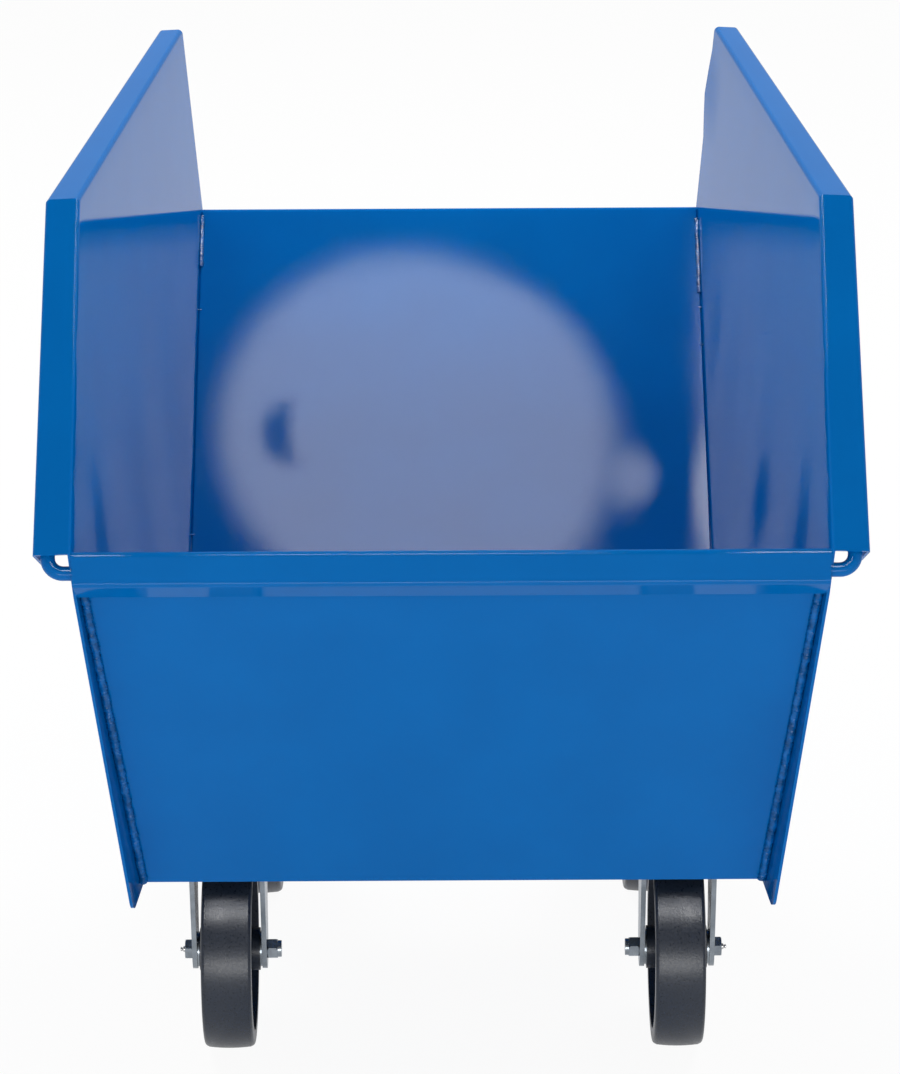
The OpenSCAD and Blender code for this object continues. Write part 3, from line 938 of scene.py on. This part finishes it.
    def bead(self, name: str, low: Vector, high: Vector, radius: float) -> bpy.types.Object:
        """Builds one rippled weld bead along a straight seam.

        Args:
            name: name of the piece.
            low: one end of the seam.
            high: its other end.
            radius: radius of the bead.

        Returns:
            The new object.
        """
        run, ripple = high - low, self.ripple
        half = run.length / 2
        bpy.ops.object.select_all(action="DESELECT")
        bpy.ops.mesh.primitive_cylinder_add(vertices=ripple.sides, radius=radius, depth=run.length)
        piece = bpy.context.object
        piece.name = name
        ripples = max(ripple.fewest, min(ripple.most, round(run.length / ripple.pitch)))
        step = run.length / ripples / ripple.rings
        with Bench.editing(piece):
            for cuts in (ripples - 1, ripple.rings - 1):
                Bench.pick_edges(piece, lambda start, end: abs(end.z - start.z) > step / 2)
                bpy.ops.mesh.subdivide(number_cuts=cuts)
            Bench.pick_verts(piece, lambda co: round((co.z + half) / step) % ripple.rings == 1)
            bpy.ops.transform.shrink_fatten(value=radius * ripple.swell)
            for end in (-1, 1):
                Bench.pick_verts(piece, lambda co: co.z * end > half - step / 2)
                bpy.ops.transform.resize(
                    value=(ripple.taper, ripple.taper, 1.0), center_override=(0.0, 0.0, 0.0)
                )
        texture = bpy.data.textures.new(f"{name}_lumps", "CLOUDS")
        texture.noise_scale = ripple.lump_scale
        modifier = piece.modifiers.new("lumps", "DISPLACE")
        modifier.texture = texture
        modifier.strength = radius * ripple.lumps
        bpy.ops.object.modifier_apply(modifier=modifier.name)
        piece.rotation_euler = run.to_track_quat("Z", "Y").to_euler()
        piece.location = (low + high) / 2
        bpy.ops.object.transform_apply(location=True, rotation=True, scale=True)
        bpy.ops.object.shade_smooth_by_angle(angle=math.radians(ripple.bend_angle))
        return piece

    def front_place(self, side: Side, z: float) -> Vector:
        """Finds the middle of a front seam's bead.

        Args:
            side: which seam.
            z: height.

        Returns:
            The place.
        """
        y = self.front_y(z)
        x = side.value * (self.side_x(y, z) - self.front_inset)
        return Vector((x, y - self.front_inset, z))

    def back_place(self, side: Side, down: float) -> Vector:
        """Finds the middle of a back seam's bead.

        Args:
            side: which seam.
            down: distance down from the wall's top edge.

        Returns:
            The place, still in the face of the wall.
        """
        z = self.back_top_z - down * self.back_up().z
        y = self.back_y(z)
        return Vector((side.value * (self.side_x(y, z) - self.back_inset), y, z))

    def build_welds(self) -> None:
        """Builds the weld beads of the front and back seams."""
        front, back = [], []
        rise = self.back_out() * self.back_inset
        for side, seam in ((Side.LEFT, self.left_seam), (Side.RIGHT, self.right_seam)):
            low, high = (self.front_place(side, z) for z in self.front_run)
            front.append(self.bead(f"{side.word}_front_bead", low, high, self.front_bead))
            for start, length in seam.runs:
                low, high = (self.back_place(side, down) + rise for down in (start + length, start))
                back.append(self.bead(f"{side.word}_back_bead", low, high, self.back_bead))
            reach = Vector((side.value * self.tack_half, 0.0, 0.0))
            for down in seam.tacks:
                middle = self.back_place(side, down)
                low, high = middle + reach, middle - reach
                back.append(self.bead(f"{side.word}_tack", low, high, self.tack_bead))
        seams = (("front", front, self.front_coat), ("back", back, self.back_coat))
        for place, beads, coat in seams:
            piece = Bench.join(beads, f"{place}_seam_beads")
            coats = (coat.material(),)
            Bench.finish(piece, "hopper", Slot.HOPPER_PAINT, coats, f"{place}_seam_welds")

    def build(self, coat: bpy.types.Material) -> None:
        """Builds all of the hopper's pieces.

        Args:
            coat: the sheets' finish.
        """
        self.build_back_wall(coat)
        self.build_front_wall(coat)
        for side in Side:
            self.build_side_panel(side, coat)
        self.build_welds()


@dataclass(frozen=True)
class Lamp:
    """A soft lamp.

    Attributes:
        name: name of the lamp.
        place: where it hangs.
        aim: the point it faces.
        size: its width and height.
        power: its power in watts.
        shape: its outline.
        seen: whether it lights plainly, is mirrored, or both.
    """

    name: str
    place: Point
    aim: Point
    size: Span
    power: float
    shape: LampShape = LampShape.RECTANGLE
    seen: LampLight = LampLight.BOTH

    def hang(self) -> None:
        """Adds the lamp, out of the camera's sight."""
        data = bpy.data.lights.new(self.name, "AREA")
        data.shape = self.shape.value
        data.size, data.size_y = self.size
        data.energy = self.power
        lamp = bpy.data.objects.new(self.name, data)
        lamp.location = self.place
        facing = Vector(self.aim) - Vector(self.place)
        lamp.rotation_euler = facing.to_track_quat("-Z", "Y").to_euler()
        lamp.visible_camera = False
        lamp.visible_diffuse = self.seen is not LampLight.MIRRORED
        lamp.visible_glossy = self.seen is not LampLight.PLAIN
        bpy.context.scene.collection.objects.link(lamp)


@dataclass
class Studio:
    """Camera, lamps, floor and white surround.

    Attributes:
        camera_place: where the camera stands.
        pitch: angle by which it looks down, in degrees.
        roll: angle by which it leans sideways.
        lens: its focal length in millimetres.
        farthest: farthest distance that it sees.
        floor_size: width of the floor.
        floor_colour: colour of the floor where the lamps light it.
        floor_roughness: roughness of the floor.
        floor_specular: strength of its mirror.
        floor_seen: share of pure white in the floor as the camera sees it.
        floor_mirrored: the same share as a reflection shows it.
        wall_top: sine of the elevation at which the surround starts to dim.
        ceiling_foot: sine of the elevation from which it is dim.
        wall_glow: brightness of the surround's walls.
        ceiling_glow: brightness of its ceiling.
        lamps: softboxes over the front that the paint mirrors, and the lamps that light the part.
    """

    camera_place: Point = (-0.0012, -4.1139, 2.2123)
    pitch: float = 23.0
    roll: float = -0.3
    lens: float = 143.13
    farthest: float = 200.0
    floor_size: float = 60.0
    floor_colour: Colour = (0.9, 0.9, 0.9)
    floor_roughness: float = 0.9
    floor_specular: float = 0.1
    floor_seen: float = 0.94
    floor_mirrored: float = 0.55
    wall_top: float = 0.45
    ceiling_foot: float = 0.8
    wall_glow: float = 0.55
    ceiling_glow: float = 0.12
    lamps: tuple[Lamp, ...] = (
        Lamp(
            "key", (-0.073, -0.96, 2.6), (-0.073, -0.96, 0.0), (0.616, 0.670), 17.312,
            LampShape.ELLIPSE, LampLight.MIRRORED,
        ),
        Lamp(
            "left_wing", (-0.68, -1.025, 2.6), (-0.68, -1.025, 0.0), (0.40, 0.95), 27.457,
            seen=LampLight.MIRRORED,
        ),
        Lamp(
            "right_wing", (0.64, -1.025, 2.6), (0.64, -1.025, 0.0), (0.44, 0.95), 30.203,
            seen=LampLight.MIRRORED,
        ),
        Lamp("top", (0.0, -0.3, 2.6), (0.0, -0.3, 0.0), (1.0, 1.0), 12.5, seen=LampLight.PLAIN),
        Lamp("fill", (0.0, -6.0, 0.9), (0.0, 0.0, 0.5), (5.0, 1.6), 138.0),
        Lamp("left_side", (-1.8, 2.0, 3.2), (0.0, -0.1, 0.5), (1.4, 1.4), 70.0),
        Lamp("right_side", (1.8, 2.0, 3.2), (0.0, -0.1, 0.5), (1.4, 1.4), 70.0),
    )

    def place_camera(self) -> None:
        """Adds the camera at the photograph's viewing angle."""
        data = bpy.data.cameras.new("camera")
        data.lens = self.lens
        data.clip_end = self.farthest
        camera = bpy.data.objects.new("camera", data)
        camera.location = self.camera_place
        camera.rotation_mode = "ZXY"
        camera.rotation_euler = (math.radians(90.0 - self.pitch), 0.0, math.radians(self.roll))
        bpy.context.scene.collection.objects.link(camera)
        bpy.context.scene.camera = camera

    def floor_finish(self) -> bpy.types.Material:
        """Makes the floor's finish, which keeps the shadow and shows white.

        Returns:
            The material.
        """
        tree = NodeTree("floor_white")
        path = tree.add("ShaderNodeLightPath")
        mirrored = tree.larger(path.outputs["Is Glossy Ray"], path.outputs["Is Transmission Ray"])
        white = tree.larger(
            tree.span(path.outputs["Is Camera Ray"], 0.0, self.floor_seen, 0.0, 1.0),
            tree.span(mirrored, 0.0, self.floor_mirrored, 0.0, 1.0),
        )
        matte = tree.shader(
            Base_Color=self.floor_colour,
            Roughness=self.floor_roughness,
            Specular_IOR_Level=self.floor_specular,
        )
        glow = tree.add("ShaderNodeEmission")
        mix = tree.add("ShaderNodeMixShader")
        tree.join(white, mix.inputs["Fac"])
        tree.join(matte.outputs["BSDF"], mix.inputs[1])
        tree.join(glow.outputs["Emission"], mix.inputs[2])
        tree.join(mix.outputs["Shader"], tree.output.inputs["Surface"])
        return tree.material

    def add_floor(self) -> None:
        """Lays the pale floor."""
        bpy.ops.object.select_all(action="DESELECT")
        bpy.ops.mesh.primitive_plane_add(size=self.floor_size)
        floor = bpy.context.object
        floor.name = "floor"
        floor.data.materials.append(self.floor_finish())

    def add_world(self) -> None:
        """Makes the surround: bright walls under a dim ceiling."""
        world = bpy.data.worlds.new("surround")
        bpy.context.scene.world = world
        world.use_nodes = True
        nodes, links = world.node_tree.nodes, world.node_tree.links
        background = nodes["Background"]
        background.inputs["Color"].default_value = (1, 1, 1, 1)
        height = nodes.new("ShaderNodeSeparateXYZ")
        links.new(nodes.new("ShaderNodeTexCoord").outputs["Generated"], height.inputs["Vector"])
        strength = nodes.new("ShaderNodeMapRange")
        strength.inputs["From Min"].default_value = self.wall_top
        strength.inputs["From Max"].default_value = self.ceiling_foot
        strength.inputs["To Min"].default_value = self.wall_glow
        strength.inputs["To Max"].default_value = self.ceiling_glow
        links.new(height.outputs["Z"], strength.inputs["Value"])
        links.new(strength.outputs["Result"], background.inputs["Strength"])

    def build(self) -> None:
        """Builds the whole studio."""
        self.place_camera()
        for lamp in self.lamps:
            lamp.hang()
        self.add_floor()
        self.add_world()
        bpy.context.scene.view_settings.view_transform = "Standard"


def dress_nodes(materials: Materials) -> None:
    """Gives every CAD node its finish.

    Args:
        materials: the material of each slot.
    """
    for name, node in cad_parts.items():
        for place in node.material_slots:
            place.material = materials[Slot(place.material.name.split(".")[0])]
        LOG.info("dressed %s", name)


def main() -> None:
    """Builds the scene in order."""
    logging.basicConfig(level=logging.INFO, format="%(message)s")
    materials = Finishes().make()
    dress_nodes(materials)
    Hopper().build(materials[Slot.HOPPER_PAINT])
    Studio().build()


if __name__ == "__main__":
    main()
